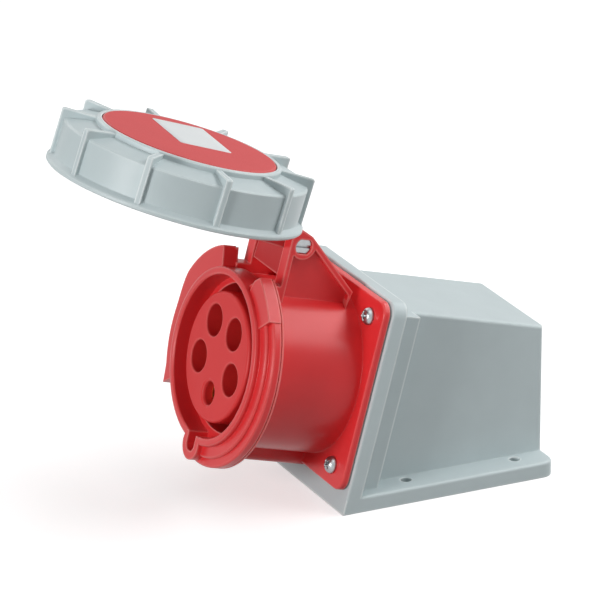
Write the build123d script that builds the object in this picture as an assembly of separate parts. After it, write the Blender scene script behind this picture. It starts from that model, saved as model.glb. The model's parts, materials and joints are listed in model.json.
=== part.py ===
from build123d import *
import os
from math import acos, cos, degrees, radians, sin, sqrt, tan

# Surface-mounted 63 A five-pole receptacle with a hinged lid and bayonet ring.
# Millimetres. +Z leaves the mounting surface, the socket looks towards -Y, tilted up,
# and the origin is the centre of the four fixing holes on the mounting face.
# The socket, the lid and all they hold are drawn in the socket's own frame: x to the right,
# v (the second axis) up the slanted face, w (the third axis) out along the socket's axis.

# Grey mounting box
FOOT_WIDTH = 113.0
FOOT_THICK = 9.2
FOOT_FRONT = 79.8            # fixing holes' centre to the foot's front edge
FOOT_BACK = 54.8             # fixing holes' centre to the foot's back edge
FOOT_CORNER = 8.0
FOOT_HOLE_R = 3.2
FOOT_HOLE_DX = 89.0
FOOT_HOLE_DY = 69.0
BODY_WIDTH = 77.0
BODY_TOP = 48.5              # above the socket's axis, measured along the slanted face
BODY_EDGE_R = 2.0
WALL = 3.5
FLOOR = 4.0
FOOT_EDGE_R = 1.5
FRONT_EDGE_R = 1.2           # front plate's and flange's rims
PLATE_THICK = 8.8            # front plate that the red flange sits on
PLATE_TOP = 57.0
PLATE_CORNER = 8.0
STEP_WIDTH = 96.0            # the wider stretch of body behind the plate
STEP_END = 22.5
MOUTH_WIDTH = 88.0
MOUTH_HEIGHT = 90.0
MOUTH_CORNER = 6.0
POST_R = 6.4
PILOT_R = 2.1
PILOT_DEPTH = 17.0

# Cable entry in the back wall, closed by a membrane grommet
ENTRY_R = 16.0
ENTRY_HEIGHT = 40.0
GROMMET_LIP = 3.0
GROMMET_LIP_THICK = 2.5
GROMMET_NOSE = 5.0
GROMMET_TIP_R = 9.0
GROMMET_SKIN = 1.5

# Socket's place on the slanted face
TILT = 15.0
AXIS_UP = 68.1               # foot's front edge to the socket's axis, along the slanted face
GASKET_THICK = 1.0

# Red flange and its screws
FLANGE_WIDTH = 110.0
FLANGE_HEIGHT = 111.0
FLANGE_THICK = 4.0
FLANGE_CORNER = 8.0
SCREW_DX = 80.0
SCREW_DY = 88.0
SCREW_R = 2.4
SCREW_HEAD_R = 4.7
SCREW_HEAD_THICK = 3.2
SCREW_SLACK = 0.4

# Sleeve and front collar, places along the axis from the slanted face
SLEEVE_R = 48.5
SLEEVE_WALL = 2.7
INNER_R = 42.2               # bore that guides the plug's shroud
INNER_WALL = 2.4
INNER_FOOT = 14.0            # lower end of the inner sleeve, where the insulator's rim seats
LEDGE = 62.0                 # end of the wide mouth inside the collar
MOUTH_R = 46.0
LIP_R = 50.5
LIP_FRONT = 74.3
SECOND_R = 56.8
SECOND_FRONT = 71.0
THIRD_R = 62.0
THIRD_FRONT = 69.0
COLLAR_BACK = 62.6
GROOVE_BACK = 63.6
GROOVE_FRONT = 64.3
GROOVE_DEPTH = 0.9
EDGE_R = 0.8

# Lugs on the collar, angles from +X towards the top
LUG_R = 62.5
LUG_FRONT = 72.0
NEAR_LUG = (37.0, 66.0)
NEAR_LUG_TOP = (63.5, 70.5)  # slanted upper end: angle at the lug's rim, angle at the lip
NEAR_LUG_RAMP = 3.4          # how far the lug's lower end slants, along the rim
HOOD_END = 109.0
HOOD_FULL = 147.0
HOOD_LOW_R = 58.2
HOOD_LOW = (172.0, 203.0)
HOOD_TOOTH = 213.0
HOOD_TOOTH_R = 62.0
PASS_END = 260.0             # end of the lower gap that lets a bayonet tooth through

# Keyway at the bottom, and the rib that holds it
KEY_HALF = 4.7
KEY_BOTTOM = 56.0
KEY_LOOP_R = 9.2
KEY_LOOP_AT = 51.8
RIB_HALF = 6.4
RIB_BOTTOM = 57.8

# Hinge bracket
HINGE_V = 75.0
HINGE_W = 47.0
BRACKET_HALF = 24.0
BRACKET_GAP = 16.0           # half of the space between the two cheeks
BRACKET_RECESS = 4.5
BRACKET_BORDER = 3.2
BRACKET_FRONT = 55.3
BRACKET_SHOULDER = 79.0
BRACKET_TIP = (49.7, 84.3)
BRACKET_BACK = (43.0, 81.3)
BRACKET_HEEL = (9.9, 52.3)
BRACKET_SOLE = (12.3, 40.0)
EAR_TOP = 51.0
WEB_FRONT = 38.5
WEB_THICK = 3.0
WEB_TOP = 52.2               # cross wall's top, below the swing of the lid's tail
BOSS_R = 7.4
STOP_BAR = (5.8, 7.2, 150.0, 172.0)    # radii and angles about the hinge, from the front over the top
STOP_NOSE = (4.0, 7.0, 100.0, 148.5)   # the same for the nose on the lid's barrel, lid open

# Hinge pin, its head cut flat above and below
PIN_R = 3.0
PIN_HEAD_R = 4.75
PIN_HEAD_HALF = 3.8
PIN_HEAD_THICK = 2.6
PIN_HEAD_SINK = 1.4
PIN_HEAD_SLACK = 0.35
PIN_SLOT = 1.8
PIN_SLOT_DEEP = 1.6
RUNNING = 0.05

# Lid, drawn closed and then swung open about the hinge
LID_OPEN = 93.7
DISC_FACE = 88.4             # outer face of the red disc, along the axis
DISC_R = 49.6
CAP_WALL = 3.0
BRIM_R = 65.6
BRIM_TOP = 76.7
BRIM_BOTTOM = 75.8
SLOPE_TOP = 81.6
SEAL_IN = 44.4
SEAL_OUT = 51.6
SEAL_TOP = 77.0
SEAL_GAP = 0.3               # between the seal and the lip with the lid just shut
ARM_IN = 51.9
ARM_OUT = 57.3
ARM_SIDE_GAP = 0.5
ARM_FOOT = 44.0
CHEEK_THICK = 5.5
CHEEK_TOP = 56.0
HINGE_BARREL_R = 5.4
TAIL_DROP = 6.4              # hinge axis to the tail's outer face
TAIL_THICK = 3.0
TAIL_LONG = 20.0

# Bayonet ring round the lid
RING_IN = 66.4
RING_WALL_R = 69.5
FIN_PROUD = 2.4
RING_DEPTH = 31.2            # disc face to the rim
RING_SLACK = 0.5             # between the disc and the ring's collar
RING_COLLAR_R = 52.8
RING_COLLAR_DROP = 0.4       # collar's edge below the disc's face
RING_SHOULDER_DROP = (3.6, 6.4)
RIM_R = 73.2
RIM_BAND = 3.0
RIM_SLOPE = 1.8
FIN_COUNT = 10
FIN_FIRST = 29.0             # angle of the first fin with the ring unlocked
FIN_THICK = 3.4
FIN_DROP = 1.4
TOOTH_ANGLES = (73.0, 236.0)
TOOTH_SPAN = 10.0
TOOTH_IN = 58.2
TOOTH_BASE = 0.4             # from the rim to the tooth
TOOTH_THICK = 4.3
CLIP_IN = 63.8
CLIP_THICK = 1.2
CLIP_GROOVE = 0.6
CLIP_SLACK = 0.1

# Contact carrier, contacts and what holds them
CARRIER_R = 37.0
CARRIER_FACE = 71.0
CARRIER_EDGE_R = 1.8
CARRIER_BASE = 8.0
SEAT_SLACK = 0.3
PIN_CIRCLE_R = 21.5
LINE_ANGLES = (126.0, 54.0, -18.0)
NEUTRAL_ANGLE = 198.0
EARTH_ANGLE = -90.0
LINE_MOUTH_R = 9.2
LINE_WELL = 20.0             # floor of the wells round the line contacts
LINE_TOP = 57.0
LINE_PIN_R = 4.0
LINE_TUBE_R = 6.4
MOUTH_EDGE_R = 0.7
EARTH_MOUTH_R = 6.5
EARTH_MOUTH_EDGE = 1.7
EARTH_MOUTH_DEEP = 6.2
EARTH_PIN_R = 5.0
CONTACT_DEEP = 36.0          # depth of a contact's bore
CONTACT_SLACK = 0.05
CONTACT_SLOT = 1.0
CONTACT_SLOT_LONG = 22.0
RING_SPRING_THICK = 0.6
RING_SPRING_LONG = 6.0
RING_SPRING_DROP = 2.0
SHOULDER_EXTRA = 2.2
SHOULDER_LOW = 2.0
INSULATOR_LOW = -6.0
INSULATOR_R = 35.0
INSULATOR_RIM = 5.0
BARREL_LOW = -24.0
BARREL_R = 6.4
WIRE_R = 4.0
WIRE_DEEP = 17.0
CLAMP_R = 2.4
CLAMP_HEAD_R = 3.8
CLAMP_HEAD_THICK = 2.4
CLAMP_PLACES = (-11.5, -19.5)
CENTRE_SCREW_R = 2.5
CENTRE_SCREW_LONG = 24.0
CENTRE_HEAD_R = 4.8
CENTRE_HEAD_THICK = 3.2
SNAP_THICK = 1.6
SNAP_DEEP = 0.8
SNAP_WIDE = 3.4

# Worked out from the sizes above
FLANGE_BACK = GASKET_THICK
FLANGE_FACE = GASKET_THICK + FLANGE_THICK
RIM_FACE = DISC_FACE - RING_DEPTH
FIN_R = RING_WALL_R + FIN_PROUD
BORE_R = SLEEVE_R - SLEEVE_WALL
SIN_TILT = sin(radians(TILT))
COS_TILT = cos(radians(TILT))
SOCKET_Y = -FOOT_FRONT + AXIS_UP * SIN_TILT
SOCKET_Z = AXIS_UP * COS_TILT
SOCKET = Plane(origin=(0, SOCKET_Y, SOCKET_Z), x_dir=(1, 0, 0), z_dir=(0, -COS_TILT, SIN_TILT))
LID_SWING = Pos(0, HINGE_V, HINGE_W) * Rot(-LID_OPEN, 0, 0) * Pos(0, -HINGE_V, -HINGE_W)
SCREW_PLACES = [(sx * SCREW_DX / 2, sy * SCREW_DY / 2) for sx in (-1, 1) for sy in (-1, 1)]


def turned(points):
    """Solid of revolution about the w axis from an outline of (radius, w) points."""
    return revolve(Plane.XZ * make_face(Polyline(*points, close=True)), Axis.Z)


def sector(inner, outer, start, end, low, high):
    """Piece of a ring between two radii, two angles and two heights."""
    outline = Polyline((inner, low), (outer, low), (outer, high), (inner, high), close=True)
    return Rot(0, 0, start) * revolve(Plane.XZ * make_face(outline), Axis.Z, end - start)


def rod(radius, low, high, x=0.0, v=0.0):
    """Round bar along the w axis."""
    return Pos(x, v, low) * extrude(Circle(radius), high - low)


def cross_rod(radius, start, end, v=HINGE_V, w=HINGE_W):
    """Round bar along the hinge, from x = start to x = end."""
    across = Plane(origin=(start, v, w), x_dir=(0, 1, 0), z_dir=(1, 0, 0))
    return extrude(across * Circle(radius), end - start)


def flatted_rod(slack, start, end):
    """Outline of the pin's head, round with a flat above and below, widened by the slack."""
    band = Box(end - start, 2 * (PIN_HEAD_HALF + slack), 4 * PIN_HEAD_R)
    return cross_rod(PIN_HEAD_R + slack, start, end) & Pos((start + end) / 2, HINGE_V, HINGE_W) * band


def side_plate(points, start, end):
    """Flat plate of thickness along x, from an outline of (w, v) points."""
    corners = [(start, v, w) for w, v in points]
    return extrude(make_face(Polyline(*corners, close=True)), end - start, dir=(1, 0, 0))


def hinge_block(limits, half):
    """Block across the hinge between two radii and two angles about its axis."""
    inner, outer, start, end = limits
    corners = [(inner, start), (outer, start), (outer, (start + end) / 2), (outer, end), (inner, end)]
    points = [(HINGE_W + r * cos(radians(t)), HINGE_V + r * sin(radians(t))) for r, t in corners]
    return side_plate(points, -half, half)


def slab(sketch, low, high):
    """Sketch in x and v raised from one height to another."""
    return Pos(0, 0, low) * extrude(sketch, high - low)


def eased(solid, radius):
    """Solid with the rim of its highest face rounded."""
    return fillet(solid.faces().sort_by(Axis.Z)[-1].edges(), radius)


def at_angle(radius, angle):
    """Point in x and v at a radius and an angle from +X."""
    return (radius * cos(radians(angle)), radius * sin(radians(angle)))


def to_box(shape):
    """Piece drawn in the socket's frame, put on the slanted face."""
    return SOCKET.location * shape


def to_lid(shape):
    """Piece drawn with the lid shut, swung open and put on the slanted face."""
    return SOCKET.location * LID_SWING * shape


def body_outline(top, back, bottom):
    """Side outline of the box's body in y and z: slanted front, sloping top, upright back."""
    reach = (SOCKET_Y + top * SIN_TILT - back) / COS_TILT
    top_front = (SOCKET_Y + top * SIN_TILT, SOCKET_Z + top * COS_TILT)
    top_back = (back, SOCKET_Z + top * COS_TILT + reach * SIN_TILT)
    low_front = (-FOOT_FRONT + bottom * tan(radians(TILT)), bottom)
    return [low_front, (back, bottom), top_back, top_front]


def prism(outline, width):
    """Outline in y and z, made solid across the box's width."""
    corners = [(-width / 2, y, z) for y, z in outline]
    return extrude(make_face(Polyline(*corners, close=True)), width, dir=(1, 0, 0))


def box_mouth():
    """Opening in the front plate, with the four screw posts left standing in its corners."""
    mouth = RectangleRounded(MOUTH_WIDTH, MOUTH_HEIGHT, MOUTH_CORNER)
    for x, v in SCREW_PLACES:
        mouth -= Pos(x, v) * Circle(POST_R)
    return mouth


def mounting_box():
    """Grey moulding: foot, body with a sloping top, front plate, all one hollow piece."""
    foot = Rectangle(FOOT_WIDTH, FOOT_FRONT + FOOT_BACK)
    back_corners = foot.vertices().sort_by(Axis.Y)[-2:]
    foot = Pos(0, (FOOT_BACK - FOOT_FRONT) / 2) * fillet(back_corners, FOOT_CORNER)
    foot = extrude(foot, FOOT_THICK)
    foot_rim = foot.faces().sort_by(Axis.Z)[-1].edges()
    foot = fillet(foot_rim.filter_by(lambda e: e.center().Y > 1 - FOOT_FRONT), FOOT_EDGE_R)
    body = prism(body_outline(BODY_TOP, FOOT_BACK, 0.0), BODY_WIDTH)
    side_edges = body.edges().filter_by(lambda e: abs(e.center().X) > BODY_WIDTH / 2 - 1)
    side_edges = side_edges.filter_by(lambda e: e.center().Z > FOOT_THICK and e.center().Y > SOCKET_Y)
    body = fillet(side_edges, BODY_EDGE_R)
    reach_down = AXIS_UP + PLATE_THICK
    plate_tall = PLATE_TOP + reach_down
    plate = Pos(0, PLATE_TOP - plate_tall / 2) * RectangleRounded(FOOT_WIDTH, plate_tall, PLATE_CORNER)
    step_tall = BODY_TOP + reach_down
    step = Pos(0, BODY_TOP - step_tall / 2) * Rectangle(STEP_WIDTH, step_tall)
    front = eased(slab(plate, -PLATE_THICK, 0), FRONT_EDGE_R) + slab(step, -STEP_END, -PLATE_THICK / 2)
    below = Pos(0, 0, -FOOT_FRONT) * Box(4 * FOOT_WIDTH, 4 * FOOT_FRONT, 2 * FOOT_FRONT)
    box = foot + body + (to_box(front) - below)
    ahead = to_box(Pos(0, 0, FOOT_FRONT) * Box(4 * FOOT_WIDTH, 4 * FOOT_FRONT, 2 * FOOT_FRONT))
    box -= ahead
    cavity = prism(body_outline(BODY_TOP - WALL, FOOT_BACK - WALL, FLOOR), BODY_WIDTH - 2 * WALL)
    cavity -= to_box(slab(Rectangle(2 * FOOT_WIDTH, 2 * FOOT_FRONT), -STEP_END + WALL, FOOT_FRONT))
    box -= cavity
    box -= to_box(slab(box_mouth(), -STEP_END + WALL, 1))
    for x, v in SCREW_PLACES:
        box -= to_box(rod(PILOT_R, -PILOT_DEPTH, 1, x, v))
    for x in (-FOOT_HOLE_DX / 2, FOOT_HOLE_DX / 2):
        for y in (-FOOT_HOLE_DY / 2, FOOT_HOLE_DY / 2):
            box -= Pos(x, y, -1) * extrude(Circle(FOOT_HOLE_R), FOOT_THICK + 2)
    behind = Plane(origin=(0, FOOT_BACK + 1, ENTRY_HEIGHT), x_dir=(1, 0, 0), z_dir=(0, -1, 0))
    return box - extrude(behind * Circle(ENTRY_R), WALL + 2)


def cable_grommet():
    """Rubber membrane grommet pressed into the cable entry, a lip on each side of the wall."""
    lip = ENTRY_R + GROMMET_LIP
    inside = WALL + GROMMET_LIP_THICK
    shape = turned([(0, GROMMET_NOSE), (GROMMET_TIP_R, GROMMET_NOSE), (ENTRY_R - 1, GROMMET_LIP_THICK),
                    (lip, GROMMET_LIP_THICK - 1), (lip, 0), (ENTRY_R, 0), (ENTRY_R, -WALL), (lip - 1, -WALL),
                    (ENTRY_R + 1, -inside), (ENTRY_R - GROMMET_LIP, -inside), (ENTRY_R - GROMMET_LIP, 0),
                    (GROMMET_TIP_R, GROMMET_NOSE - GROMMET_SKIN), (0, GROMMET_NOSE - GROMMET_SKIN)])
    return Plane(origin=(0, FOOT_BACK, ENTRY_HEIGHT), x_dir=(-1, 0, 0), z_dir=(0, 1, 0)).location * shape


def flange_gasket():
    """Flat rubber frame between the flange and the box."""
    frame = RectangleRounded(FLANGE_WIDTH - 1, FLANGE_HEIGHT - 1, FLANGE_CORNER - 0.5) - box_mouth()
    for x, v in SCREW_PLACES:
        frame -= Pos(x, v) * Circle(SCREW_R + SCREW_SLACK)
    return slab(frame, 0, GASKET_THICK)


def sleeve_and_collar():
    """The turned form of the socket: outer sleeve, stepped collar, inner sleeve, cored between."""
    core_end = LEDGE - SLEEVE_WALL
    core_in = INNER_R + INNER_WALL
    groove_r = THIRD_R - GROOVE_DEPTH
    snap_low = INSULATOR_RIM - SNAP_THICK
    snap_r = BORE_R + SNAP_DEEP
    outer = [(SLEEVE_R, FLANGE_BACK), (SLEEVE_R, COLLAR_BACK), (THIRD_R, COLLAR_BACK), (THIRD_R, GROOVE_BACK),
             (groove_r, GROOVE_BACK), (groove_r, GROOVE_FRONT), (THIRD_R, GROOVE_FRONT),
             (THIRD_R, THIRD_FRONT - EDGE_R), (THIRD_R - EDGE_R, THIRD_FRONT), (SECOND_R, THIRD_FRONT),
             (SECOND_R, SECOND_FRONT - EDGE_R), (SECOND_R - EDGE_R, SECOND_FRONT), (LIP_R, SECOND_FRONT),
             (LIP_R, LIP_FRONT - 2 * EDGE_R), (LIP_R - EDGE_R / 2, LIP_FRONT - EDGE_R / 2),
             (LIP_R - 2 * EDGE_R, LIP_FRONT), (MOUTH_R + EDGE_R, LIP_FRONT), (MOUTH_R, LIP_FRONT - EDGE_R)]
    inner = [(MOUTH_R, LEDGE), (INNER_R, LEDGE), (INNER_R, INNER_FOOT), (core_in, INNER_FOOT),
             (core_in, core_end), (BORE_R, core_end), (BORE_R, INSULATOR_RIM), (snap_r, INSULATOR_RIM),
             (snap_r, snap_low), (BORE_R, snap_low), (BORE_R, FLANGE_BACK)]
    return turned(outer + inner)


def near_lug():
    """Lug on the +X side of the collar, its lower end cut on a slant."""
    low, high = NEAR_LUG
    band = sector(LIP_R - 1, LUG_R, low, high, GROOVE_FRONT, LUG_FRONT)
    end = radians(low)
    back = (LUG_R * cos(end), LUG_R * sin(end))
    wedge = Polyline((0, GROOVE_FRONT), (NEAR_LUG_RAMP, LUG_FRONT - 1), (NEAR_LUG_RAMP, LUG_FRONT + 1),
                     (-1, LUG_FRONT + 1), (-1, GROOVE_FRONT), close=True)
    cut = extrude(Plane(origin=(*back, 0), x_dir=(-sin(end), cos(end), 0), z_dir=(-cos(end), -sin(end), 0))
                  * make_face(wedge), 2 * (LUG_R - LIP_R), both=True)
    return band - cut


def hood():
    """Lug on the -X side: full at the top, lower along the side, with a tooth at its foot."""
    full = ThreePointArc(at_angle(LUG_R, HOOD_END), at_angle(LUG_R, (HOOD_END + HOOD_FULL) / 2),
                         at_angle(LUG_R, HOOD_FULL))
    ease = Spline(at_angle(LUG_R, HOOD_FULL), at_angle(HOOD_LOW_R, HOOD_LOW[0]),
                  tangents=[at_angle(1, HOOD_FULL + 90), at_angle(1, HOOD_LOW[0] + 90)])
    low = ThreePointArc(at_angle(HOOD_LOW_R, HOOD_LOW[0]), at_angle(HOOD_LOW_R, sum(HOOD_LOW) / 2),
                        at_angle(HOOD_LOW_R, HOOD_LOW[1]))
    tooth = Polyline(at_angle(HOOD_LOW_R, HOOD_LOW[1]), at_angle(HOOD_TOOTH_R, HOOD_TOOTH),
                     at_angle(LIP_R - 1, HOOD_TOOTH))
    inside = ThreePointArc(at_angle(LIP_R - 1, HOOD_TOOTH), at_angle(LIP_R - 1, (HOOD_TOOTH + HOOD_END) / 2),
                           at_angle(LIP_R - 1, HOOD_END))
    close = Line(at_angle(LIP_R - 1, HOOD_END), at_angle(LUG_R, HOOD_END))
    return slab(make_face([*full.edges(), *ease.edges(), *low.edges(), *tooth.edges(), *inside.edges(),
                           *close.edges()]), GROOVE_FRONT, LUG_FRONT)


def bracket_outline():
    """Side outline of a hinge cheek in w and v, foot sunk into the sleeve."""
    return [(BRACKET_SOLE[0], BRACKET_SOLE[1]), BRACKET_HEEL, BRACKET_BACK, BRACKET_TIP,
            (BRACKET_FRONT, BRACKET_SHOULDER), (BRACKET_FRONT, EAR_TOP), (COLLAR_BACK + 1, EAR_TOP),
            (COLLAR_BACK + 1, BRACKET_SOLE[1])]


def inset_outline():
    """Edge of the shallow recess in the outer face of a cheek."""
    slope = sqrt((BRACKET_BACK[0] - BRACKET_HEEL[0]) ** 2 + (BRACKET_BACK[1] - BRACKET_HEEL[1]) ** 2)
    along = ((BRACKET_BACK[0] - BRACKET_HEEL[0]) / slope, (BRACKET_BACK[1] - BRACKET_HEEL[1]) / slope)
    inward = (along[1] * BRACKET_BORDER, -along[0] * BRACKET_BORDER)
    heel = (BRACKET_HEEL[0] + inward[0], BRACKET_HEEL[1] + inward[1])
    top = (BRACKET_BACK[0] + inward[0], BRACKET_BACK[1] + inward[1])
    front = BRACKET_FRONT - BRACKET_BORDER
    return [(heel[0], BRACKET_SOLE[1] - 1), heel, top, (front, HINGE_V), (front, BRACKET_SOLE[1] - 1)]


def hinge_bracket():
    """Two cheeks on top of the sleeve, joined by a low cross wall and the bar that stops the lid."""
    bracket = Part()
    for side in (-1, 1):
        cheek = side_plate(bracket_outline(), side * BRACKET_GAP, side * BRACKET_HALF)
        web = side * (BRACKET_HALF - BRACKET_RECESS)
        recess = side_plate(inset_outline(), web, side * (BRACKET_HALF + 1))
        recess -= cross_rod(BOSS_R, side * BRACKET_GAP, side * (BRACKET_HALF + 2))
        bracket += cheek - recess
    wall = [(WEB_FRONT - WEB_THICK, BRACKET_SOLE[1]), (WEB_FRONT - WEB_THICK, WEB_TOP), (WEB_FRONT, WEB_TOP),
            (WEB_FRONT, BRACKET_SOLE[1])]
    bracket += side_plate(wall, -BRACKET_GAP - 1, BRACKET_GAP + 1) + hinge_block(STOP_BAR, BRACKET_GAP + 1)
    return bracket - rod(SLEEVE_R - SLEEVE_WALL / 2, 0, LIP_FRONT)


def key_slot(half, bottom, low, high):
    """Round-ended upright slot from the socket's axis down, in x and v."""
    slot = Pos(0, -bottom / 2) * Rectangle(2 * half, bottom)
    corners = slot.vertices().sort_by(Axis.Y)[:2]
    return slab(fillet(corners, half * 0.9), low, high)


def upper_gap():
    """Gap in the collar below the hinge, its near end on the slant of the near lug's top."""
    rim, lip = NEAR_LUG_TOP
    gap = sector(LIP_R, LUG_R + 1, rim - 1, HOOD_END, COLLAR_BACK - 1, LUG_FRONT + 1)
    keep = Polyline(at_angle(LIP_R, lip), at_angle(LUG_R, rim), at_angle(LUG_R + 2, rim - 1.2),
                    at_angle(LUG_R + 2, NEAR_LUG[0]), at_angle(LIP_R - 2, NEAR_LUG[0]),
                    at_angle(LIP_R - 1, lip + 0.5), close=True)
    return gap - slab(make_face(keep), COLLAR_BACK - 2, LUG_FRONT + 2)


def socket_shell():
    """Red moulding: flange, sleeve, stepped collar with its lugs, keyway rib and hinge bracket."""
    flange = RectangleRounded(FLANGE_WIDTH, FLANGE_HEIGHT, FLANGE_CORNER)
    shell = eased(slab(flange, FLANGE_BACK, FLANGE_FACE), FRONT_EDGE_R)
    shell -= rod(SLEEVE_R - 1, 0, FLANGE_FACE + 1)
    shell += sleeve_and_collar()
    shell += near_lug()
    shell -= upper_gap()
    shell -= sector(LIP_R, LUG_R + 1, HOOD_TOOTH, PASS_END, COLLAR_BACK - 1, LUG_FRONT + 1)
    shell += hood() + hinge_bracket()
    rib = key_slot(RIB_HALF, RIB_BOTTOM, FLANGE_BACK, COLLAR_BACK + 1)
    loop = slab(Pos(0, -KEY_LOOP_AT) * Circle(KEY_LOOP_R), COLLAR_BACK, LIP_FRONT)
    shell += (rib - rod(SLEEVE_R - 1, 0, LIP_FRONT)) + (loop - rod(MOUTH_R, 0, LIP_FRONT + 1))
    shell -= key_slot(KEY_HALF, KEY_BOTTOM, LEDGE, LIP_FRONT + 1) - rod(INNER_R - 1, 0, LIP_FRONT + 1)
    for x, v in SCREW_PLACES:
        shell -= rod(SCREW_R + SCREW_SLACK, 0, FLANGE_FACE + 1, x, v)
    shell -= flatted_rod(PIN_HEAD_SLACK, BRACKET_HALF - PIN_HEAD_SINK - PIN_HEAD_THICK, BRACKET_HALF + 1)
    return shell - cross_rod(PIN_R, -BRACKET_HALF - 1, BRACKET_HALF)


def flange_screws():
    """Four pan-head steel screws through the flange into the box's posts."""
    screws = []
    for x, v in SCREW_PLACES:
        head = Pos(x, v, FLANGE_FACE) * extrude(Circle(SCREW_HEAD_R), SCREW_HEAD_THICK)
        crown = head.faces().sort_by(Axis.Z)[-1].edges()
        head = fillet(crown, SCREW_HEAD_THICK * 0.6)
        shank = rod(PILOT_R, -PILOT_DEPTH + 1, 0, x, v)
        neck = rod(SCREW_R, -0.5, FLANGE_FACE, x, v)
        screws.append(head + (neck - rod(SCREW_R + 1, -PILOT_DEPTH, 0, x, v)) + shank)
    return Part() + screws


def hinge_pin():
    """Steel pin with a slotted head, through both cheeks and the lid's barrel."""
    head_low = BRACKET_HALF - PIN_HEAD_SINK - PIN_HEAD_THICK
    head_high = BRACKET_HALF - PIN_HEAD_SINK
    pin = cross_rod(PIN_R, -BRACKET_HALF, head_low) + flatted_rod(0, head_low, head_high)
    slot = Pos(head_high, HINGE_V, HINGE_W) * Box(2 * PIN_SLOT_DEEP, PIN_SLOT, 3 * PIN_HEAD_R)
    return pin - slot


def lid_cap():
    """Red lid: disc and brim, curved arm with two side plates, hinge barrel and the tail behind it."""
    cap = turned([(0, DISC_FACE), (DISC_R - EDGE_R, DISC_FACE), (DISC_R, DISC_FACE - EDGE_R),
                  (DISC_R, SLOPE_TOP), (BRIM_R, BRIM_TOP), (BRIM_R, BRIM_BOTTOM), (SEAL_OUT, BRIM_BOTTOM),
                  (SEAL_OUT, SEAL_TOP), (SEAL_IN, SEAL_TOP), (SEAL_IN, DISC_FACE - CAP_WALL),
                  (0, DISC_FACE - CAP_WALL)])
    half = BRACKET_GAP - ARM_SIDE_GAP
    arm_top = BRIM_BOTTOM + 0.5
    arm = turned([(ARM_IN, ARM_FOOT), (ARM_OUT, ARM_FOOT), (ARM_OUT, arm_top), (ARM_IN, arm_top)])
    arm &= Pos(0, ARM_OUT, DISC_FACE / 2) * Box(2 * half, ARM_OUT, DISC_FACE)
    cap += arm
    cheek = [(ARM_FOOT, ARM_IN + 1), (CHEEK_TOP, ARM_IN + 1), (HINGE_W + HINGE_BARREL_R, HINGE_V),
             (HINGE_W - HINGE_BARREL_R, HINGE_V)]
    tail_near = HINGE_V - TAIL_DROP + TAIL_THICK
    tail = [(HINGE_W, HINGE_V - TAIL_DROP), (HINGE_W, tail_near), (HINGE_W - TAIL_LONG, tail_near),
            (HINGE_W - TAIL_LONG, HINGE_V - TAIL_DROP)]
    for side in (-1, 1):
        cap += side_plate(cheek, side * (half - CHEEK_THICK), side * half)
    cap += cross_rod(HINGE_BARREL_R, -half, half) + side_plate(tail, -half, half)
    cap += LID_SWING.inverse() * hinge_block(STOP_NOSE, half)
    return cap - cross_rod(PIN_R + RUNNING, -BRACKET_HALF, BRACKET_HALF)


def lid_seal():
    """Soft ring in the lid's groove, which meets the socket's lip."""
    low = LIP_FRONT + SEAL_GAP
    return slab(Circle(SEAL_OUT) - Circle(SEAL_IN), low, SEAL_TOP)


def clip_levels():
    """Lower and upper face of the clip, just under the lid's brim."""
    high = BRIM_BOTTOM - 2 * CLIP_SLACK
    return high - CLIP_THICK, high


def bayonet_ring():
    """Grey ring: wall, shoulder, collar round the disc, ten fins, flared rim and inner teeth."""
    collar_in = DISC_R + RING_SLACK
    base, edge = (DISC_FACE - drop for drop in RING_SHOULDER_DROP)
    collar_top = DISC_FACE - RING_COLLAR_DROP
    ceiling = SLOPE_TOP + RING_SLACK
    ceiling_low = BRIM_TOP + RING_SLACK
    band_top = RIM_FACE + RIM_BAND
    clip_low, clip_high = clip_levels()
    groove_r = RING_IN + CLIP_GROOVE
    outside = [(collar_in, collar_top), (RING_COLLAR_R - EDGE_R, collar_top),
               (RING_COLLAR_R, collar_top - EDGE_R), (RING_COLLAR_R, base), (RING_WALL_R - EDGE_R, edge),
               (RING_WALL_R, edge - EDGE_R), (RING_WALL_R, band_top + RIM_SLOPE), (RIM_R - EDGE_R, band_top),
               (RIM_R, band_top - EDGE_R), (RIM_R, RIM_FACE + EDGE_R), (RIM_R - EDGE_R, RIM_FACE)]
    inside = [(RING_IN + EDGE_R, RIM_FACE), (RING_IN, RIM_FACE + EDGE_R), (RING_IN, clip_low - CLIP_SLACK),
              (groove_r, clip_low - CLIP_SLACK), (groove_r, clip_high + CLIP_SLACK),
              (RING_IN, clip_high + CLIP_SLACK), (RING_IN, ceiling_low), (collar_in, ceiling)]
    ring = turned(outside + inside)
    fin_top = DISC_FACE - FIN_DROP
    fin = Polyline((RING_COLLAR_R - 1, base - 1), (RING_COLLAR_R - 1, fin_top), (FIN_R - EDGE_R, fin_top),
                   (FIN_R, fin_top - EDGE_R), (FIN_R, RIM_FACE + 1), (RING_WALL_R - 1, RIM_FACE + 1),
                   (RING_WALL_R - 1, edge - 1), close=True)
    blade = extrude(Plane.XZ * make_face(fin), FIN_THICK / 2, both=True)
    for place in range(FIN_COUNT):
        ring += Rot(0, 0, FIN_FIRST + place * 360 / FIN_COUNT) * blade
    tooth_low = RIM_FACE + TOOTH_BASE
    for angle in TOOTH_ANGLES:
        ring += sector(TOOTH_IN, RING_IN + 1, angle - TOOTH_SPAN / 2, angle + TOOTH_SPAN / 2, tooth_low,
                       tooth_low + TOOTH_THICK)
    return ring


def ring_clip():
    """Open spring ring in the bayonet ring's groove, under the lid's brim."""
    low, high = clip_levels()
    clip = slab(Circle(RING_IN + CLIP_GROOVE - CLIP_SLACK) - Circle(CLIP_IN), low, high)
    return clip - sector(CLIP_IN - 1, RING_IN + 2, 266, 274, low - 1, high + 1)


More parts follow.
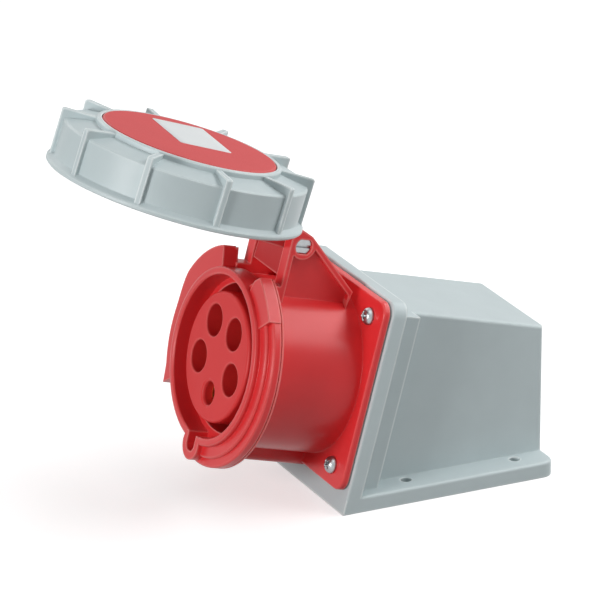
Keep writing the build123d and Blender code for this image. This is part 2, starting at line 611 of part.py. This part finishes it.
def contact_places():
    """Name, angle, pin radius, tube radius and top of each of the five contacts."""
    lines = [(f"line_contact_{n + 1}", angle, LINE_PIN_R, LINE_TUBE_R, LINE_TOP)
             for n, angle in enumerate(LINE_ANGLES)]
    neutral = ("neutral_contact", NEUTRAL_ANGLE, LINE_PIN_R, LINE_TUBE_R, LINE_TOP)
    earth = ("earth_contact", EARTH_ANGLE, EARTH_PIN_R, EARTH_MOUTH_R - CONTACT_SLACK,
             CARRIER_FACE - EARTH_MOUTH_DEEP)
    return lines + [neutral, earth]


def contact_carrier():
    """Red insulating body: the round boss with five entries."""
    low = CARRIER_BASE
    carrier = eased(rod(CARRIER_R, low, CARRIER_FACE), CARRIER_EDGE_R)
    for name, angle, pin_r, tube_r, top in contact_places():
        x, v = at_angle(PIN_CIRCLE_R, angle)
        if name == "earth_contact":
            well = rod(EARTH_MOUTH_R, low, CARRIER_FACE + 1, x, v)
            mouth_r, edge = EARTH_MOUTH_R, EARTH_MOUTH_EDGE
        else:
            well = rod(LINE_MOUTH_R, LINE_WELL, CARRIER_FACE + 1, x, v)
            well += rod(tube_r + CONTACT_SLACK, low, LINE_WELL + 1, x, v)
            mouth_r, edge = LINE_MOUTH_R, MOUTH_EDGE_R
        carrier -= well
        flare = turned([(0, CARRIER_FACE - edge), (mouth_r, CARRIER_FACE - edge),
                        (mouth_r + edge * 0.3, CARRIER_FACE - edge * 0.3),
                        (mouth_r + edge, CARRIER_FACE + 0.01), (0, CARRIER_FACE + 0.01)])
        carrier -= Pos(x, v) * flare
    return carrier - rod(CENTRE_SCREW_R, low - 1, INSULATOR_LOW + CENTRE_SCREW_LONG)


def contact(angle, pin_r, tube_r, top):
    """Brass contact: slotted tube for the pin, shoulder held by the insulator, barrel for the wire."""
    x, v = at_angle(PIN_CIRCLE_R, angle)
    tube = rod(tube_r, SHOULDER_LOW, top) + rod(BARREL_R, BARREL_LOW, SHOULDER_LOW)
    tube += rod(tube_r + SHOULDER_EXTRA, SHOULDER_LOW, CARRIER_BASE)
    tube -= rod(pin_r + CONTACT_SLACK, top - CONTACT_DEEP, top + 1)
    tube -= rod(WIRE_R, BARREL_LOW - 1, BARREL_LOW + WIRE_DEEP)
    groove_top = top - RING_SPRING_DROP + CONTACT_SLACK
    groove_low = groove_top - RING_SPRING_LONG - 2 * CONTACT_SLACK
    tube -= rod(tube_r + 1, groove_low, groove_top) - rod(tube_r - RING_SPRING_THICK, groove_low, groove_top)
    for turn in (45, 135):
        slot_mid = top - CONTACT_SLOT_LONG / 2 + 0.5
        tube -= Rot(0, 0, turn) * Pos(0, 0, slot_mid) * Box(3 * tube_r, CONTACT_SLOT, CONTACT_SLOT_LONG + 1)
    for place in CLAMP_PLACES:
        tube -= Pos(0, 0, place) * Rot(0, 90, 0) * extrude(Circle(CLAMP_R), BARREL_R + 1)
    return Pos(x, v) * Rot(0, 0, angle) * tube


def contact_springs():
    """Steel spring rings in the grooves of the slotted tubes, which close them on the pins."""
    rings = []
    for name, angle, pin_r, tube_r, top in contact_places():
        x, v = at_angle(PIN_CIRCLE_R, angle)
        high = top - RING_SPRING_DROP
        inner = tube_r - RING_SPRING_THICK + CONTACT_SLACK
        ring = rod(tube_r, high - RING_SPRING_LONG, high, x, v)
        rings.append(ring - rod(inner, high - RING_SPRING_LONG - 1, high + 1, x, v))
    return Part() + rings


def terminal_screws():
    """Two clamping screws in each wire barrel, heads outwards."""
    screws = []
    for name, angle, pin_r, tube_r, top in contact_places():
        for place in CLAMP_PLACES:
            shank = extrude(Circle(CLAMP_R), BARREL_R - WIRE_R + 2)
            head = Pos(0, 0, BARREL_R - WIRE_R + 2) * extrude(Circle(CLAMP_HEAD_R), CLAMP_HEAD_THICK)
            screw = Pos(WIRE_R - 1, 0, place) * Rot(0, 90, 0) * (shank + head)
            screws.append(Rot(0, 0, angle) * Pos(PIN_CIRCLE_R, 0, 0) * screw)
    return Part() + screws


def rear_insulator():
    """Black moulding that traps the contacts' shoulders, its rim seated below the inner sleeve."""
    rim_out, rim_in = BORE_R - SEAT_SLACK, CARRIER_R + SEAT_SLACK
    plate = turned([(0, INSULATOR_LOW), (INSULATOR_R, INSULATOR_LOW), (INSULATOR_R, INSULATOR_RIM),
                    (rim_out, INSULATOR_RIM), (rim_out, INNER_FOOT), (rim_in, INNER_FOOT), (rim_in, CARRIER_BASE),
                    (0, CARRIER_BASE)])
    for name, angle, pin_r, tube_r, top in contact_places():
        x, v = at_angle(PIN_CIRCLE_R, angle)
        plate -= rod(tube_r + SHOULDER_EXTRA + CONTACT_SLACK, SHOULDER_LOW, CARRIER_BASE + 1, x, v)
        plate -= rod(BARREL_R + CONTACT_SLACK, INSULATOR_LOW - 1, SHOULDER_LOW + 1, x, v)
    return plate - rod(CENTRE_SCREW_R, INSULATOR_LOW - 1, CARRIER_BASE + 1)


def centre_screw():
    """Screw through the insulator into the carrier, which holds the two together."""
    head = rod(CENTRE_HEAD_R, INSULATOR_LOW - CENTRE_HEAD_THICK, INSULATOR_LOW)
    return head + rod(CENTRE_SCREW_R, INSULATOR_LOW, INSULATOR_LOW + CENTRE_SCREW_LONG)


def snap_ring():
    """Steel ring sprung into the sleeve's groove, which keeps the carrier in its seat."""
    low = INSULATOR_RIM - SNAP_THICK
    ring = slab(Circle(BORE_R + SNAP_DEEP) - Circle(BORE_R - SNAP_WIDE), low, INSULATOR_RIM)
    return ring - sector(INSULATOR_R, SLEEVE_R, 84, 96, low - 1, INSULATOR_RIM + 1)


def all_pieces():
    """Every piece by its name, in place."""
    pieces = {"mounting_box": mounting_box(), "cable_grommet": cable_grommet()}
    on_box = {"flange_gasket": flange_gasket(), "socket_shell": socket_shell(),
              "flange_screws": flange_screws(), "hinge_pin": hinge_pin(), "contact_carrier": contact_carrier(),
              "contact_springs": contact_springs(), "terminal_screws": terminal_screws(),
              "rear_insulator": rear_insulator(), "centre_screw": centre_screw(),
              "carrier_snap_ring": snap_ring()}
    for name, angle, pin_r, tube_r, top in contact_places():
        on_box[name] = contact(angle, pin_r, tube_r, top)
    on_lid = {"lid_cap": lid_cap(), "lid_seal": lid_seal(), "bayonet_ring": bayonet_ring(),
              "ring_clip": ring_clip()}
    pieces.update({name: to_box(shape) for name, shape in on_box.items()})
    pieces.update({name: to_lid(shape) for name, shape in on_lid.items()})
    return pieces


os.makedirs("parts", exist_ok=True)
for node, piece in all_pieces().items():
    export_step(piece, f"parts/{node}.step")
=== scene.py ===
import json
from math import cos, radians, sin

import bpy
import numpy as np
from mathutils import Matrix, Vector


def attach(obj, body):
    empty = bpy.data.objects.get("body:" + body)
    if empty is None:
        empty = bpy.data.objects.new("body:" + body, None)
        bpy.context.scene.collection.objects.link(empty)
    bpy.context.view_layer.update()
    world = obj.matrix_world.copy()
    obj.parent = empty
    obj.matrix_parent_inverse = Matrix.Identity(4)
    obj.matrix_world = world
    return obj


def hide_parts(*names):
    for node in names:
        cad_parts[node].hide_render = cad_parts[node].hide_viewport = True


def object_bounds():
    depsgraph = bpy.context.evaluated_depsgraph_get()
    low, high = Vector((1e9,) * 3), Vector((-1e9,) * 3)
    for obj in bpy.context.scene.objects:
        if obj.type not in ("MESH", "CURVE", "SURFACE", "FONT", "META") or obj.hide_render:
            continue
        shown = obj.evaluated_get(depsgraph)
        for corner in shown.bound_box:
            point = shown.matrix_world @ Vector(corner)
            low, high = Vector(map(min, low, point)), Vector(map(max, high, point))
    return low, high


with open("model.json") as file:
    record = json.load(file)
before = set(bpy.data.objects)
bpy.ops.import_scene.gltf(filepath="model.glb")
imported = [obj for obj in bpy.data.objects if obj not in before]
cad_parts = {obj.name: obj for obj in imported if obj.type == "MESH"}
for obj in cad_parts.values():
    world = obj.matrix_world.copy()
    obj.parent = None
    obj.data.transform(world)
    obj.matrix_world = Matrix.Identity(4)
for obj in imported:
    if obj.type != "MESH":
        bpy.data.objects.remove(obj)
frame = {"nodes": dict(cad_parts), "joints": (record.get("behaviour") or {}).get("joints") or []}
cad_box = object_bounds()


# Mounting box: one hollow moulding in pale grey polyamide. Its spark-eroded skin scatters light,
# so its faces look soft and even, and its outer corners get a painted highlight, a paler line along each.
CLOUD_SIZE = 0.018
SHEEN_BELOW, SHEEN_ABOVE = 0.05, 0.07
# Painted highlight on corners: how deep the solid is probed, how far corners are paled, and the probe values
# where the paling starts and where it is full.
CORNER_REACH, PAINTED_HIGHLIGHT_STRENGTH = 0.0012, 0.8
HIGHLIGHT_STARTS, HIGHLIGHT_FULL = 0.97, 0.68


def tone(code):
    """Linear colour of an sRGB hex value: each channel goes through the sRGB curve."""
    channels = np.array([int(code[i:i + 2], 16) for i in (1, 3, 5)]) / 255.0
    linear = np.where(channels <= 0.04045, channels / 12.92, ((channels + 0.055) / 1.055) ** 2.4)
    return (*linear.tolist(), 1.0)


def add(owner, kind, settings=None, links=None):
    """Adds one shader node to a material or world, sets its sockets and properties, and joins its
    inputs to outputs of other nodes."""
    node = owner.node_tree.nodes.new(kind)
    for key, value in (settings or {}).items():
        if isinstance(key, int) or key in node.inputs:
            node.inputs[key].default_value = value
        else:
            setattr(node, key, value)
    for key, (source, output) in (links or {}).items():
        owner.node_tree.links.new(source.outputs[output], node.inputs[key])
    return node


def moulded(name, dark, light, painted_highlight_tone, roughness, grain_mm, grain_depth_mm, edge_mm, shine=0.5):
    """Moulded plastic or rubber: cloudy colour between two tones, a fine skin and softened edges. A
    corner is where rays sent into the solid soon leave it again, and it gets a painted highlight: its colour
    is mixed toward a paler tone.
    The real skin's grain, about 0.1 mm, is too fine to show, so it is drawn coarser."""
    material = bpy.data.materials.new(name)
    material.use_nodes = True
    shader = material.node_tree.nodes["Principled BSDF"]
    shader.inputs["IOR"].default_value = 1.5
    shader.inputs["Specular IOR Level"].default_value = shine
    place = add(material, "ShaderNodeTexCoord")
    clouds = add(material, "ShaderNodeTexNoise", {"Scale": 1 / CLOUD_SIZE, "Detail": 3.0, "Roughness": 0.55},
                 {"Vector": (place, "Object")})
    blend = add(material, "ShaderNodeMix", {"data_type": "RGBA", 6: tone(dark), 7: tone(light)},
                {0: (clouds, "Fac")})
    skin = add(material, "ShaderNodeTexNoise", {"Scale": 1000.0 / grain_mm, "Detail": 4.0, "Roughness": 0.6},
               {"Vector": (place, "Object")})
    sheen = add(material, "ShaderNodeMapRange",
                {"To Min": roughness - SHEEN_BELOW, "To Max": roughness + SHEEN_ABOVE},
                {"Value": (skin, "Fac")})
    edge = add(material, "ShaderNodeBevel", {"samples": 6, "Radius": edge_mm / 1000.0})
    bump = add(material, "ShaderNodeBump", {"Strength": 1.0, "Distance": grain_depth_mm / 1000.0},
               {"Height": (skin, "Fac"), "Normal": (edge, "Normal")})
    # Painted highlight: corners are mixed toward a paler tone, as if lit along the edge.
    corner = add(material, "ShaderNodeAmbientOcclusion",
                 {"samples": 8, "inside": True, "only_local": True, "Distance": CORNER_REACH})
    painted_highlight_mask = add(material, "ShaderNodeMapRange",
               {"From Min": HIGHLIGHT_STARTS, "From Max": HIGHLIGHT_FULL, "To Max": PAINTED_HIGHLIGHT_STRENGTH},
               {"Value": (corner, "AO")})
    highlight_painted = add(material, "ShaderNodeMix", {"data_type": "RGBA", 7: tone(painted_highlight_tone)},
                {0: (painted_highlight_mask, "Result"), 6: (blend, 2)})
    links = material.node_tree.links
    links.new(highlight_painted.outputs[2], shader.inputs["Base Color"])
    links.new(sheen.outputs["Result"], shader.inputs["Roughness"])
    links.new(bump.outputs["Normal"], shader.inputs["Normal"])
    return material


def finish_node(node, material):
    """Gives a carried-over solid its material."""
    solid = frame["nodes"][node]
    solid.data.materials.clear()
    solid.data.materials.append(material)


# The third tone is the painted highlight on the corners.
finish_node("mounting_box", moulded("grey_polyamide_moulding", "#B7C3C5", "#BFCBCD", "#E6EDED",
                                    roughness=0.48, grain_mm=0.9, grain_depth_mm=0.03, edge_mm=1.1))


# Cable entry: a black rubber membrane grommet pressed into the back wall.
# Rubber is matt; its raised corners get a painted highlight in a slightly paler grey.
finish_node("cable_grommet", moulded("black_membrane_rubber", "#1B1C1D", "#272829", "#303233",
                                     roughness=0.72, grain_mm=0.7, grain_depth_mm=0.03, edge_mm=0.5))


# Flange gasket: grey foam rubber, cut flat and squeezed between flange and box.
# Only its edge shows, as a thin matt line round the flange.
# The third tone is the painted highlight on the corners.
SEAL_RUBBER = moulded("grey_seal_rubber", "#8A9092", "#969C9E", "#9EA4A6",
                      roughness=0.8, grain_mm=0.5, grain_depth_mm=0.05, edge_mm=0.2)
finish_node("flange_gasket", SEAL_RUBBER)


# Socket shell: flange, sleeve, stepped collar and hinge cheeks in one red polyamide moulding.
# It is moulded glossy, so broad lamps show on it as soft pale patches.
# The third tone is the painted highlight on the corners.
finish_node("socket_shell", moulded("red_polyamide_moulding", "#DC3033", "#E33639", "#F07A76",
                                    roughness=0.3, grain_mm=0.8, grain_depth_mm=0.012, edge_mm=0.9,
                                    shine=0.35))


# Contact carrier: a round boss of the same red, moulded with a duller skin. It holds the contacts
# back from its face, so its entries look dark inside. A black phenolic moulding closes its back.
# In both mouldings the third tone is the painted highlight on the corners.
finish_node("contact_carrier", moulded("red_carrier_moulding", "#D82A2C", "#DF3032", "#F07A76",
                                       roughness=0.4, grain_mm=0.8, grain_depth_mm=0.015, edge_mm=0.8,
                                       shine=0.25))
finish_node("rear_insulator", moulded("black_phenolic_moulding", "#141414", "#1F1F1F", "#2A2A2A",
                                      roughness=0.5, grain_mm=0.6, grain_depth_mm=0.02, edge_mm=0.4))


# Contacts: turned brass tubes, slotted so that steel rings can close them on the pins.
# Turned brass keeps fine rings from the tool, which stretch its shine across the part.
LINE_DEPTH = 0.00001
LINES_BELOW, LINES_ABOVE = 0.06, 0.1


def metal(name, dark, light, roughness, line_mm, stretch):
    """Worked metal: fine lines from tool or rolling, which vary the tone and the roughness. Real
    lines lie under 0.1 mm apart, too fine to show, so they are drawn coarser."""
    material = bpy.data.materials.new(name)
    material.use_nodes = True
    shader = material.node_tree.nodes["Principled BSDF"]
    shader.inputs["Metallic"].default_value = 1.0
    place = add(material, "ShaderNodeTexCoord")
    turn = add(material, "ShaderNodeMapping", {"Scale": stretch}, {"Vector": (place, "Object")})
    lines = add(material, "ShaderNodeTexNoise", {"Scale": 1000.0 / line_mm, "Detail": 3.0},
                {"Vector": (turn, "Vector")})
    blend = add(material, "ShaderNodeMix", {"data_type": "RGBA", 6: tone(dark), 7: tone(light)},
                {0: (lines, "Fac")})
    rough = add(material, "ShaderNodeMapRange",
                {"To Min": roughness - LINES_BELOW, "To Max": roughness + LINES_ABOVE},
                {"Value": (lines, "Fac")})
    bump = add(material, "ShaderNodeBump", {"Strength": 0.6, "Distance": LINE_DEPTH},
               {"Height": (lines, "Fac")})
    links = material.node_tree.links
    links.new(blend.outputs[2], shader.inputs["Base Color"])
    links.new(rough.outputs["Result"], shader.inputs["Roughness"])
    links.new(bump.outputs["Normal"], shader.inputs["Normal"])
    return material


TURNED_BRASS = metal("turned_brass", "#B5924C", "#CBAA62",
                     roughness=0.3, line_mm=0.5, stretch=(1.0, 6.0, 1.0))
for contact in ("line_contact_1", "line_contact_2", "line_contact_3", "neutral_contact", "earth_contact"):
    finish_node(contact, TURNED_BRASS)


# Steel pieces: zinc-plated screws and hinge pin, which are bright and a little cloudy, and
# springs bent from drawn wire, which are darker, with fine lines along the wire.
ZINC_STEEL = metal("zinc_plated_steel", "#95999C", "#B9BDBF",
                   roughness=0.3, line_mm=0.6, stretch=(1.0, 1.0, 1.0))
SPRING_STEEL = metal("drawn_spring_steel", "#6E7173", "#8C8F91",
                     roughness=0.34, line_mm=0.4, stretch=(5.0, 1.0, 1.0))
for fastener in ("terminal_screws", "centre_screw", "hinge_pin"):
    finish_node(fastener, ZINC_STEEL)
for spring in ("contact_springs", "carrier_snap_ring", "ring_clip"):
    finish_node(spring, SPRING_STEEL)


# Flange screws: four zinc-plated pan-head screws with a cross recess, driven into the box's
# posts. The head is pressed and the thread is rolled, so both have soft edges and a clean shine.
# The flange lies on the slanted front: out of it runs the socket's axis, 15 degrees above level.
TILT = radians(15.0)
ACROSS = np.array([1.0, 0.0, 0.0])
UP_FACE = np.array([0.0, sin(TILT), cos(TILT)])
OUTWARD = np.array([0.0, -cos(TILT), sin(TILT)])
FACE_FOOT_Y, AXIS_UP_FACE = -0.0798, 0.0681
AXIS_POINT = np.array([0.0, FACE_FOOT_Y, 0.0]) + AXIS_UP_FACE * UP_FACE
SCREW_SPACING = (0.080, 0.088)
FIRST_TURN, TURN_ACROSS, TURN_UP = 0.4, 0.9, 0.5
HEAD_R, HEAD_HIGH, SEAT = 0.0050, 0.0042, 0.0050
POLE_R, DOME_SPREAD, DOME_POWER, RIM_STARTS, RIM_ENDS = 0.00001, 1.02, 2.6, 0.97, 0.99
CROSS_HALF, CROSS_REACH, CROSS_DEEP = 0.00070, 0.0030, 0.0022
WALL_STARTS, WALL_ENDS, ARM_RISES = 0.8, 1.25, 0.55
SHANK_R, THREAD_DEEP, THREAD_PITCH, SHANK_END = 0.0020, 0.00016, 0.0016, -0.0160
POINT_STARTS, POINT_TAPER = 0.9, 0.75
ROUND_STEPS, DOME_STEPS, THREAD_STEPS = 96, 30, 110


def step(value, low, high):
    """Smooth step: 0 below low, 1 above high, and 3t^2 - 2t^3 between."""
    t = np.clip((value - low) / (high - low), 0.0, 1.0)
    return t * t * (3.0 - 2.0 * t)


def grid_faces(rows, columns, closed):
    """Quads between neighbouring rows and columns of a grid, numbered row by row; closed joins the
    last column to the first."""
    i, j = np.meshgrid(np.arange(rows - 1), np.arange(columns if closed else columns - 1), indexing="ij")
    k = (j + 1) % columns
    quads = np.stack([i * columns + j, i * columns + k, (i + 1) * columns + k, (i + 1) * columns + j], -1)
    return quads.reshape(-1, 4)


def surface(name, patches, material, body):
    """One object from grids of points: each patch is (points[rows, columns, 3], closed round)."""
    points, faces, start = [], [], 0
    for patch, closed in patches:
        rows, columns = patch.shape[:2]
        points.append(patch.reshape(-1, 3))
        faces.append(grid_faces(rows, columns, closed) + start)
        start += rows * columns
    mesh = bpy.data.meshes.new(name)
    mesh.from_pydata(np.concatenate(points).tolist(), [], np.concatenate(faces).tolist())
    mesh.materials.append(material)
    mesh.polygons.foreach_set("use_smooth", np.ones(len(mesh.polygons), bool))
    mesh.update()
    piece = bpy.data.objects.new(name, mesh)
    bpy.context.scene.collection.objects.link(piece)
    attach(piece, body)
    return piece


def on_face(x, up, out):
    """Point at x across, up along the slanted face and out along the socket's axis."""
    return AXIS_POINT + x[..., None] * ACROSS + up[..., None] * UP_FACE + out[..., None] * OUTWARD


def pan_screw(x, up, turn):
    """Pan head and shank as one turned grid. Over the head the radius runs from the middle to the rim,
    and the height is a flattened dome, less a cross with soft walls. Down the shank the radius is
    less by a wave that climbs one pitch in each turn, and it narrows to the point."""
    angle = np.linspace(0.0, 2.0 * np.pi, ROUND_STEPS, endpoint=False)
    radius = np.linspace(POLE_R, HEAD_R * RIM_STARTS, DOME_STEPS)
    radius = np.concatenate([radius, [HEAD_R, HEAD_R * RIM_ENDS]])
    fall = (radius / (HEAD_R * DOME_SPREAD)) ** DOME_POWER
    dome = SEAT + HEAD_HIGH * np.sqrt(np.clip(1.0 - fall, 0.0, 1.0))
    dome[-1] = SEAT
    a, r = np.meshgrid(angle, radius)
    across, along = np.abs(r * np.cos(a - turn)), np.abs(r * np.sin(a - turn))
    arm = np.maximum(1.0 - step(across, CROSS_HALF * WALL_STARTS, CROSS_HALF * WALL_ENDS),
                     1.0 - step(along, CROSS_HALF * WALL_STARTS, CROSS_HALF * WALL_ENDS))
    recess = CROSS_DEEP * arm * (1.0 - step(r, CROSS_REACH * ARM_RISES, CROSS_REACH))
    head = on_face(x + r * np.cos(a), up + r * np.sin(a), dome[:, None] - recess)
    along_shank = np.linspace(0.0, 1.0, THREAD_STEPS)
    out = (SEAT + along_shank * (SHANK_END - SEAT))[:, None]
    wave = 0.5 + 0.5 * np.cos(2.0 * np.pi * out / THREAD_PITCH - angle)
    taper = 1.0 - step(along_shank, POINT_STARTS, 1.0)[:, None] * POINT_TAPER
    thread = (SHANK_R - THREAD_DEEP * wave) * taper
    out = np.broadcast_to(out, thread.shape)
    shank = on_face(x + thread * np.cos(angle), up + thread * np.sin(angle), out)
    return np.concatenate([head, shank])


screws = [(pan_screw(right * SCREW_SPACING[0] / 2, high * SCREW_SPACING[1] / 2,
                     FIRST_TURN + TURN_ACROSS * right + TURN_UP * high), True)
          for right in (-1, 1) for high in (-1, 1)]
flange_screws = surface("flange_screws_cross_recess", screws, ZINC_STEEL, "housing")
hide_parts("flange_screws")


# Lid: disc, arm and hinge barrel in one red polyamide moulding, with a grey rubber seal inside.
# Its skin is coarser and duller than the shell's, which spreads the light evenly over the disc.
# The third tone is the painted highlight on the corners.
finish_node("lid_cap", moulded("red_lid_moulding", "#BF3032", "#C73739", "#E88683",
                               roughness=0.55, grain_mm=1.0, grain_depth_mm=0.03, edge_mm=0.6, shine=0.35))
finish_node("lid_seal", SEAL_RUBBER)


# Bayonet ring: grey polyamide, moulded with ten gripping fins and a flared rim.
# It has the box's skin, a little smoother where hands rub it.
# The third tone is the painted highlight on the corners.
finish_node("bayonet_ring", moulded("grey_ring_moulding", "#B5C2C4", "#BECACC", "#E6EDED",
                                    roughness=0.42, grain_mm=0.9, grain_depth_mm=0.02, edge_mm=0.8))


# Data plate: a bare white satin vinyl sticker on the lid's disc, with rounded corners, put on a
# little askew. It is thin, so it lies flat on the plastic; its edge catches a little light from its shape,
# and a painted highlight pales it further.
PLATE_SIZE, PLATE_THICK, PLATE_CORNER = (0.048, 0.031), 0.00025, 0.0015
PLATE_PLACE, PLATE_TURN = (-0.0139, 0.0077), radians(-5.0)
PLATE_INSETS = np.array([1.0, 1.0, 0.995, 0.6, 0.001])
PLATE_LEVELS = np.array([-0.3, 0.8, 1.0, 1.0, 1.0])
PLATE_STEPS = 64
RING_JOINT = next(joint for joint in frame["joints"] if joint["name"] == "ring_turn")
LID_OUT = np.array(RING_JOINT["axis"])
LID_UP = np.cross(LID_OUT, ACROSS)
DISC_CENTRE = np.array(RING_JOINT["pos_m"])


def plate(width, height, thick, corner):
    """Flat plate: a rectangle's outline with quarter circles at its corners, repeated up the edge and,
    shrunk by the insets, in to the middle of the top, then turned and moved to its place."""
    angle = np.linspace(0.0, 2.0 * np.pi, PLATE_STEPS, endpoint=False) + np.pi / PLATE_STEPS
    outline_x = np.sign(np.cos(angle)) * (width / 2 - corner) + corner * np.cos(angle)
    outline_y = np.sign(np.sin(angle)) * (height / 2 - corner) + corner * np.sin(angle)
    x, y = PLATE_INSETS[:, None] * outline_x, PLATE_INSETS[:, None] * outline_y
    z = np.broadcast_to(thick * PLATE_LEVELS[:, None], x.shape)
    across = x * cos(PLATE_TURN) - y * sin(PLATE_TURN) + PLATE_PLACE[0]
    up = x * sin(PLATE_TURN) + y * cos(PLATE_TURN) + PLATE_PLACE[1]
    return DISC_CENTRE + across[..., None] * ACROSS + up[..., None] * LID_UP + z[..., None] * LID_OUT


surface("bare_plate", [(plate(*PLATE_SIZE, PLATE_THICK, PLATE_CORNER), True)],
        moulded("white_satin_vinyl", "#D3D8D9", "#DBDFE0", "#EEF0F1",
                roughness=0.35, grain_mm=1.5, grain_depth_mm=0.004, edge_mm=0.1),
        "lid")


# Studio: a pale floor in a white surround. The camera sees both brighter than they shine on the
# object, so the page is white and the object keeps its shade and its shadow.
FLOOR_SIZE, FLOOR_HEIGHT = 12.0, float(cad_box[0][2])
FLOOR_SEEN, FLOOR_UNSEEN, FLOOR_GLOW = 0.72, 0.32, 0.5
SURROUND_SEEN, SURROUND_UNSEEN = 1.0, 0.22


def seen_by_camera(owner, seen, unseen):
    """Output that is one value where the camera, a shine or a clear body looks, and another for the
    light that falls on the object: the largest of the three ray flags chooses between them."""
    rays = add(owner, "ShaderNodeLightPath")
    looks = (rays, "Is Camera Ray")
    for ray in ("Is Glossy Ray", "Is Transmission Ray"):
        looks = (add(owner, "ShaderNodeMath", {"operation": "MAXIMUM"}, {0: looks, 1: (rays, ray)}), "Value")
    level = add(owner, "ShaderNodeMapRange", {"To Min": unseen, "To Max": seen}, {"Value": looks})
    return level.outputs["Result"]


def studio_floor(size, height):
    """Flat square floor at a height."""
    half = size / 2
    corners = [(-half, -half, height), (half, -half, height), (half, half, height), (-half, half, height)]
    mesh = bpy.data.meshes.new("studio_floor")
    mesh.from_pydata(corners, [], [(0, 1, 2, 3)])
    material = bpy.data.materials.new("studio_floor")
    material.use_nodes = True
    shader = material.node_tree.nodes["Principled BSDF"]
    shader.inputs["Roughness"].default_value = 0.9
    shader.inputs["Specular IOR Level"].default_value = 0.0
    shader.inputs["Emission Color"].default_value = (1.0, 1.0, 1.0, 1.0)
    links = material.node_tree.links
    links.new(seen_by_camera(material, FLOOR_SEEN, FLOOR_UNSEEN), shader.inputs["Base Color"])
    links.new(seen_by_camera(material, FLOOR_GLOW, 0.0), shader.inputs["Emission Strength"])
    mesh.materials.append(material)
    floor = bpy.data.objects.new("studio_floor", mesh)
    bpy.context.scene.collection.objects.link(floor)


studio_floor(FLOOR_SIZE, FLOOR_HEIGHT)
world = bpy.data.worlds.new("white_surround")
bpy.context.scene.world = world
world.use_nodes = True
surround = world.node_tree.nodes["Background"]
surround.inputs["Color"].default_value = (1.0, 1.0, 1.0, 1.0)
world.node_tree.links.new(seen_by_camera(world, SURROUND_SEEN, SURROUND_UNSEEN), surround.inputs["Strength"])


# Lamps: five soft ones. The wide one high behind lays the pale patch on the sleeve, the one in
# front grazes the box's side past its steps, the small one low behind picks out the rear edges,
# and the overhead and left ones fill in.
LAMP_AIM = (0.0, -0.06, 0.11)


def stand(holder, right, back, place):
    """Puts a lamp or camera at a place, looking away from its back axis. Its up axis is the cross
    product of back and right."""
    turn = np.eye(4)
    turn[:3, 0], turn[:3, 1], turn[:3, 2], turn[:3, 3] = right, np.cross(back, right), back, place
    holder.matrix_world = Matrix(turn.tolist())
    bpy.context.scene.collection.objects.link(holder)


def soft_lamp(name, place, width, height, power):
    """Flat soft lamp at a place, turned to the aim with its width level."""
    lamp = bpy.data.lights.new(name, "AREA")
    lamp.shape, lamp.size, lamp.size_y, lamp.energy = "RECTANGLE", width, height, power
    back = np.array(place) - np.array(LAMP_AIM)
    back /= np.linalg.norm(back)
    right = np.cross([0.0, 0.0, 1.0], back)
    right /= np.linalg.norm(right)
    stand(bpy.data.objects.new(name, lamp), right, back, place)


soft_lamp("overhead_lamp", (0.35, -0.2, 1.7), width=1.2, height=1.2, power=5.5)
soft_lamp("rear_lamp", (0.2, 1.05, 1.1), width=2.2, height=0.5, power=17.5)
soft_lamp("front_lamp", (0.45, -1.55, 0.5), width=0.4, height=0.4, power=13.0)
soft_lamp("side_lamp", (0.55, 0.85, 0.25), width=0.4, height=0.4, power=1.3)
soft_lamp("left_lamp", (-1.4, -0.2, 0.9), width=0.8, height=0.8, power=3.0)


# Camera: a long lens at the photograph's angle, from the front right and above. Its back axis
# points from the object to the lens, and its right axis is level.
CAMERA_PLACE = np.array([2.4404, -1.2502, 1.1482])
CAMERA_BACK = np.array([0.84172, -0.40388, 0.35830])
CAMERA_RIGHT = np.array([0.43260, 0.90159, 0.0])
CAMERA_LENS, SENSOR_WIDTH, FAR_CLIP = 311.15, 36.0, 50.0

camera = bpy.data.cameras.new("camera")
camera.lens, camera.sensor_width, camera.clip_end = CAMERA_LENS, SENSOR_WIDTH, FAR_CLIP
viewer = bpy.data.objects.new("camera", camera)
stand(viewer, CAMERA_RIGHT, CAMERA_BACK, CAMERA_PLACE)
bpy.context.scene.camera = viewer
bpy.context.scene.view_settings.view_transform = "Standard"
